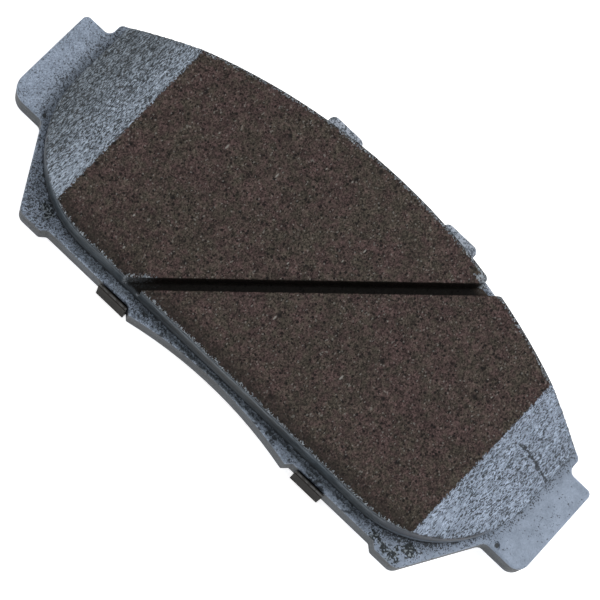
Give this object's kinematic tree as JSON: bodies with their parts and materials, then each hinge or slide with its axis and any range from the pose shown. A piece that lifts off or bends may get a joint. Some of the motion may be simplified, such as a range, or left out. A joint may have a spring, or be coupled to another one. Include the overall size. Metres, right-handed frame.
{
  "type": "brake pad",
  "caption": "Disc brake pad with a slotted and chamfered friction block bonded to a steel backing plate, with a clip-on rubber-coated shim.",
  "frame": {"origin": "bottom centre of the bounding box, on the back face of the shim", "axes": "+X along the pad, +Y radially outward towards the rim of the disc, +Z from the shim to the friction face"},
  "size_m": [0.14, 0.06, 0.0134],
  "materials": {
    "painted_plate": "satin blue-grey paint, thin and worn near the friction block",
    "adhesive": "cured dark film",
    "friction_base": "dense pressed compound, painted over at its edge",
    "friction_compound": "ground face, dark brown with fine light flecks",
    "shim_steel": "bare sheet steel, seen at its cut edges",
    "shim_rubber": "thin matt nitrile coating"
  },
  "bodies": {
    "shim": {"shim_rubber_outer": "shim_rubber", "shim_core": "shim_steel", "shim_rubber_inner": "shim_rubber"},
    "pad": {"backing_plate": "painted_plate", "bond_film": "adhesive", "underlayer": "friction_base", "friction_block": "friction_compound"}
  },
  "joints": [
    {"name": "shim_unclip", "type": "slide", "parent": "shim", "child": "pad", "axis": [0, 0, 1], "range_m": [0, 0.01]}
  ]
}
